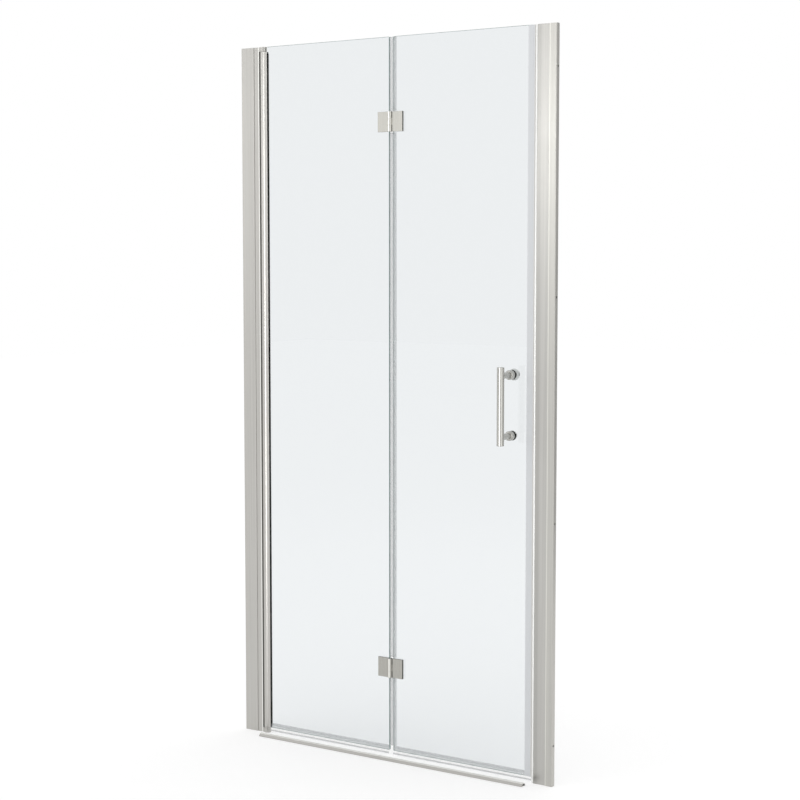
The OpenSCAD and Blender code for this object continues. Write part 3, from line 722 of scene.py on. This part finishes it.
@dataclass
class PullHandle:
    """Bar, posts, rings, knob and cap."""

    bar: str = "handle_bar"
    turned: tuple[str, ...] = ("upper_handle_post", "lower_handle_post")
    rear: tuple[str, ...] = ("rear_knob", "rear_cap")
    rubber: tuple[str, ...] = ("handle_rings", "rear_washers")
    bushes: str = "handle_bushes"
    studs: str = "handle_studs"

    def dress(self, finishes: Finishes) -> None:
        """Gives the handle's pieces their materials."""
        finishes.put(
            ((self.bar,), finishes.bar_nickel),
            (self.turned, finishes.turned_nickel),
            (self.rear, finishes.rear_nickel),
            (self.rubber, finishes.rubber),
            ((self.bushes,), finishes.nylon),
            ((self.studs,), finishes.steel),
        )


@dataclass
class LatchSeal:
    """The magnetic seal on the free edge and the strip inside it."""

    nose_back: float = 0.001

    def dress(self, finishes: Finishes) -> None:
        """Gives the seal two tones that meet just behind the strip's outer side, and the strip its own."""
        _, strip_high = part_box("seal_magnet")
        finishes.put(
            (("magnetic_seal",), MagnetVinyl("magnetic_vinyl", strip_high.x - self.nose_back)),
            (("seal_magnet",), finishes.magnet),
        )


def link(name: str, data: bpy.types.ID) -> bpy.types.Object:
    """Puts new object data into the scene under that name."""
    made = bpy.data.objects.new(name, data)
    bpy.context.scene.collection.objects.link(made)
    return made


def aim_at(thing: bpy.types.Object, at: Point, aim: Point) -> None:
    """Places a lamp or card and turns its face to a point."""
    thing.location = at
    thing.rotation_euler = (Vector(aim) - Vector(at)).to_track_quat("-Z", "Y").to_euler()


def mesh_from(name: str, bm: bmesh.types.BMesh, material: bpy.types.Material) -> bpy.types.Mesh:
    """Turns a finished bmesh into a mesh with one material.

    Args:
        name: the mesh's name.
        bm: the shape, which is freed.
        material: the mesh's only material.

    Returns:
        The new mesh.
    """
    mesh = bpy.data.meshes.new(name)
    bm.to_mesh(mesh)
    bm.free()
    mesh.materials.append(material)
    return mesh


def points_of(geometry: Iterable[Any]) -> list[bmesh.types.BMVert]:
    """The vertices among an operator's results."""
    return [g for g in geometry if isinstance(g, bmesh.types.BMVert)]


@dataclass
class Screws:
    """Pan head screws with a cross recess, put in from the shower side.

    The head is shaped as a unit button and then scaled, so that its dome and recess are given as shares of
    the head's radius and height.
    """

    name: str
    node: str
    body: str
    head_r: float = 0.00336
    head_t: float = 0.002
    cells: int = 12
    dome: float = 0.45
    dome_power: float = 2.6
    recess: float = 0.6
    arm: float = 0.52
    arm_half: float = 0.17
    shank_r: float = 0.0016
    core: float = 0.8
    pitch: float = 0.0004
    least_rings: int = 4
    sides: int = 14
    bin_height: float = 0.05
    bin_gap: float = 0.03
    weld: float = 1e-7

    def _head(self, bm: bmesh.types.BMesh, seat: Vector) -> None:
        """Adds one domed head whose recess is pushed in from the crown.

        Args:
            bm: the mesh to add to.
            seat: middle of the head's seat, in metres.
        """
        grid = bmesh.ops.create_grid(bm, x_segments=self.cells, y_segments=self.cells, size=1.0)["verts"]
        for v in grid:
            x, y = v.co.x, v.co.y
            round_x = x * math.sqrt(1.0 - y * y / 2.0)
            round_y = y * math.sqrt(1.0 - x * x / 2.0)
            reach = min(1.0, math.hypot(round_x, round_y))
            v.co = Vector((round_x, round_y, 1.0 - self.dome * reach ** self.dome_power))
        faces = dict.fromkeys(f for v in grid for f in v.link_faces)
        cross = [f for f in faces if self._in_cross(f.calc_center_median())]
        pushed = bmesh.ops.extrude_face_region(bm, geom=cross)["geom"]
        bmesh.ops.delete(bm, geom=cross, context="FACES")
        bmesh.ops.translate(bm, verts=points_of(pushed), vec=(0.0, 0.0, -self.recess))
        crown = list(dict.fromkeys(v for f in bm.faces for v in f.verts if not v.tag))
        rim = [e for e in bm.edges if e.is_boundary and not e.verts[0].tag]
        foot = points_of(bmesh.ops.extrude_edge_only(bm, edges=rim)["geom"])
        for v in foot:
            v.co.z = 0.0
        open_edges = [e for e in bm.edges if e.is_boundary and not e.verts[0].tag]
        bmesh.ops.contextual_create(bm, geom=open_edges)
        self._seat(bm, crown + foot, seat, -90.0, (self.head_r, self.head_r, self.head_t))

    def _in_cross(self, at: Vector) -> bool:
        """Whether a face of the unit head lies in its cross recess."""
        across, along = sorted((abs(at.x), abs(at.y)))
        return across < self.arm_half and along < self.arm

    def _shank(self, bm: bmesh.types.BMesh, seat: Vector, length: float) -> None:
        """Adds one threaded shank, ring by ring.

        Args:
            bm: the mesh to add to.
            seat: middle of the head's seat.
            length: how far it reaches.
        """
        rings = max(self.least_rings, int(length / self.pitch))
        start = bmesh.ops.create_circle(
            bm, cap_ends=True, radius=self.shank_r * self.core, segments=self.sides,
        )["verts"]
        edge = [e for e in bm.edges if e.verts[0] in start and e.verts[1] in start]
        every = list(start)
        for i in range(rings):
            grown = bmesh.ops.extrude_edge_only(bm, edges=edge)["geom"]
            ring = points_of(grown)
            edge = [
                g for g in grown
                if isinstance(g, bmesh.types.BMEdge) and g.verts[0] in ring and g.verts[1] in ring
            ]
            radius = self.shank_r * (1.0 if i % 2 == 0 else self.core)
            for v in ring:
                flat = Vector((v.co.x, v.co.y, 0.0)).normalized() * radius
                v.co = Vector((flat.x, flat.y, length * (i + 1) / rings))
            every += ring
        bmesh.ops.contextual_create(bm, geom=edge)
        self._seat(bm, every, seat, 90.0, (1.0, 1.0, 1.0))

    @staticmethod
    def _seat(
        bm: bmesh.types.BMesh, points: list[bmesh.types.BMVert], seat: Vector, turn: float, size: Point,
    ) -> None:
        """Scales, turns and moves new vertices to their seat and marks them as done.

        Args:
            bm: their mesh.
            points: the vertices, made around the origin.
            seat: where the origin goes.
            turn: degrees about X.
            size: factors along X, Y and Z before the turn.
        """
        turned = Matrix.Rotation(math.radians(turn), 4, "X") @ Matrix.Diagonal((*size, 1.0))
        bmesh.ops.transform(bm, matrix=Matrix.Translation(seat) @ turned, verts=points)
        for v in points:
            v.tag = True

    def build(self, finishes: Finishes) -> bpy.types.Object:
        """Builds every screw of the node.

        Args:
            finishes: where the steel comes from.

        Returns:
            The new piece, which stands for the CAD node.
        """
        bm = bmesh.new()
        for low, high in self._places():
            seat = Vector(((low.x + high.x) / 2, high.y - self.head_t, (low.z + high.z) / 2))
            self._head(bm, seat)
            self._shank(bm, seat, seat.y - low.y)
        bmesh.ops.remove_doubles(bm, verts=bm.verts, dist=self.weld)
        bmesh.ops.recalc_face_normals(bm, faces=bm.faces)
        piece = link(self.name, mesh_from(self.name, bm, finishes.get(finishes.steel)))
        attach(piece, self.body)
        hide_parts(self.node)
        log.info("%s stands for %s", self.name, self.node)
        return piece

    def _places(self) -> list[tuple[Vector, Vector]]:
        """Boxes of the node's screws, one for each height at which it has vertices."""
        bins: dict[int, list[Vector]] = {}
        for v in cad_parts[self.node].data.vertices:
            bins.setdefault(round(v.co.z / self.bin_height), []).append(v.co.copy())
        screws: list[list[Vector]] = []
        for key in sorted(bins):
            if screws and bins[key][0].z - screws[-1][-1].z < self.bin_gap:
                screws[-1] += bins[key]
            else:
                screws.append(bins[key])
        return [
            (Vector([min(axis) for axis in zip(*points)]), Vector([max(axis) for axis in zip(*points)]))
            for points in screws
        ]


@dataclass(frozen=True)
class SoftBox:
    """One rectangular lamp, hidden from the camera and from rays that pass through glass.

    It may light only some nodes, or spare some. The panes are spared by the lamps that would show in them
    as hard white shapes.
    """

    name: str
    at: Point
    aim: Point
    size: tuple[float, float]
    watts: float
    mirrored: bool = True
    only: tuple[str, ...] = ()
    spared: tuple[str, ...] = ()

    def build(self) -> None:
        """Hangs the lamp."""
        data = bpy.data.lights.new(self.name, "AREA")
        data.shape = "RECTANGLE"
        data.size, data.size_y = self.size
        data.energy = self.watts
        lamp = link(self.name, data)
        aim_at(lamp, self.at, self.aim)
        lamp.visible_camera = False
        lamp.visible_transmission = False
        lamp.visible_glossy = self.mirrored
        if self.only or self.spared:
            group = bpy.data.collections.new(self.name + "_group")
            for node in self.only + self.spared:
                group.objects.link(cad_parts[node])
            for member in group.collection_objects:
                member.light_linking.link_state = "INCLUDE" if self.only else "EXCLUDE"
            lamp.light_linking.receiver_collection = group
        log.info("lamp %s hangs at %s", self.name, self.at)


@dataclass(frozen=True)
class DarkCard:
    """One dark card beside the set, which only bright surfaces mirror."""

    name: str
    at: Point
    aim: Point
    size: tuple[float, float]
    tone: Colour = (0.02, 0.02, 0.02)

    def build(self) -> None:
        """Stands the card up."""
        bm = bmesh.new()
        bmesh.ops.create_grid(bm, x_segments=2, y_segments=2, size=0.5)
        bmesh.ops.scale(bm, verts=bm.verts, vec=(*self.size, 1.0))
        m = Maker.of_material("dark_card")
        matt = m.node("ShaderNodeBsdfDiffuse", sockets={"Color": (*self.tone, 1.0)})
        card = link(self.name, mesh_from(self.name, bm, m.close(matt)))
        aim_at(card, self.at, self.aim)
        card.visible_camera = False
        card.visible_diffuse = False
        card.visible_transmission = False
        log.info("card %s stands at %s", self.name, self.at)


@dataclass
class Studio:
    """White room, soft lamps and the camera of the photograph.

    The floor's glow and what its albedo throws back come to about the room's own white, so that the panes
    show no step where the floor ends.
    """

    ambient: float = 0.9
    floor_glow: float = 0.562
    floor_albedo: float = 0.5
    floor_half: float = 14.0
    floor_centre: Point = (0.5, 4.0, -0.0002)
    lamps: tuple[SoftBox, ...] = (
        SoftBox("spot", (-0.95, -3.7, 1.86), (0.9, 0.0, 1.55), (0.45, 0.6), 5.3, spared=PANES),
        SoftBox("tube", (0.83, -1.28, 1.015), (0.38, 0.0, 1.015), (0.44, 1.97), 11.6, only=NEAR_PIECES),
        SoftBox("rim", (4.2, -1.5, 1.4), (0.6, 0.0, 1.0), (0.8, 2.4), 8.4, spared=PANES),
        SoftBox("side", (-3.0, -2.3, 1.9), (0.4, 0.0, 1.3), (0.6, 1.4), 7.0, spared=PANES),
        SoftBox("back", (0.5, 3.4, 2.8), (0.5, 0.0, 1.0), (2.4, 1.2), 6.0, mirrored=False),
    )
    card: DarkCard = DarkCard("flag", (2.35, 2.6, 1.0), (0.6, 0.0, 1.0), (0.5, 3.4))
    lens: float = 80.0
    sensor: float = 36.0
    camera_at: Point = (3.0255, -3.7004, 1.2856)
    camera_turn: Point = (85.343, 0.0, 34.288)
    camera_clip: tuple[float, float] = (0.05, 100.0)

    @staticmethod
    def _seen(maker: Maker) -> Wire:
        """1 for rays that come straight, or by metal or glass, from the camera."""
        flags = ["Is Camera Ray", "Is Glossy Ray", "Is Transmission Ray"]
        rays = [maker.node("ShaderNodeLightPath", output=flag) for flag in flags]
        return rays[0].most(rays[1]).most(rays[2])

    def build_world(self) -> None:
        """Makes the white surroundings, dimmer for what they light than for what shows them."""
        world = bpy.data.worlds.new("white_room")
        bpy.context.scene.world = world
        m = Maker(world)
        strength = self.ambient + (1.0 - self.ambient) * self._seen(m)
        white = {"Color": (1.0, 1.0, 1.0, 1.0), "Strength": strength}
        m.node("ShaderNodeOutputWorld", sockets={"Surface": m.node("ShaderNodeBackground", sockets=white)})

    def build_floor(self) -> None:
        """Makes the pale floor, which glows to white for the camera and keeps the soft shadow."""
        bm = bmesh.new()
        bmesh.ops.create_grid(bm, x_segments=2, y_segments=2, size=self.floor_half)
        bmesh.ops.translate(bm, verts=bm.verts, vec=self.floor_centre)
        m = Maker.of_material("pale_floor")
        matt = m.node("ShaderNodeBsdfDiffuse", sockets={"Color": (*(self.floor_albedo,) * 3, 1.0)})
        glow = m.node("ShaderNodeEmission", sockets={"Strength": self._seen(m) * self.floor_glow})
        pale = m.close(m.node("ShaderNodeAddShader", sockets={0: matt, 1: glow}))
        floor = link("floor", mesh_from("floor", bm, pale))

    def build_camera(self) -> None:
        """Sets the camera that was fitted to the photograph."""
        data = bpy.data.cameras.new("camera")
        data.lens = self.lens
        data.sensor_width = self.sensor
        data.clip_start, data.clip_end = self.camera_clip
        camera = link("camera", data)
        camera.location = self.camera_at
        camera.rotation_euler = tuple(math.radians(angle) for angle in self.camera_turn)
        bpy.context.scene.camera = camera

    def build(self) -> None:
        """Sets up the room, the lamps and the camera."""
        self.build_world()
        self.build_floor()
        for lamp in self.lamps:
            lamp.build()
        self.card.build()
        self.build_camera()
        bpy.context.scene.view_settings.view_transform = "Standard"


def main() -> None:
    """Dresses the door, builds its detailed pieces and sets the studio."""
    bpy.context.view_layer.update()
    finishes = Finishes()
    sub_assemblies = (
        WallSides(),
        WaterBar(),
        Leaf(
            pane="pivot_glass", seals=("pivot_bottom_seal",), metal=("pivot_profile",),
            rubber=("glazing_gasket", "pivot_hinge_gaskets"),
            nylon=("top_pivot_bush", "bottom_pivot_bush", "pivot_hinge_bushes"),
            steel=("upper_hinge_pin", "lower_hinge_pin", "pivot_hinge_screws"),
        ),
        Leaf(
            pane="fold_glass", seals=("fold_bottom_seal", "fold_seal"), rubber=("fold_hinge_gaskets",),
            nylon=("fold_hinge_bushes",), steel=("fold_hinge_screws",),
        ),
        FoldHinges(),
        PullHandle(),
        LatchSeal(),
    )
    for sub_assembly in sub_assemblies:
        sub_assembly.dress(finishes)
    for name, node in (
        ("left_pan_screws", "left_profile_screws"), ("right_pan_screws", "right_profile_screws"),
        ("bracket_pan_screws", "bracket_screws"),
    ):
        Screws(name, node, "frame").build(finishes)
    Studio().build()


if __name__ == "__main__":
    logging.basicConfig(level=logging.INFO, format="%(name)s: %(message)s")
    main()
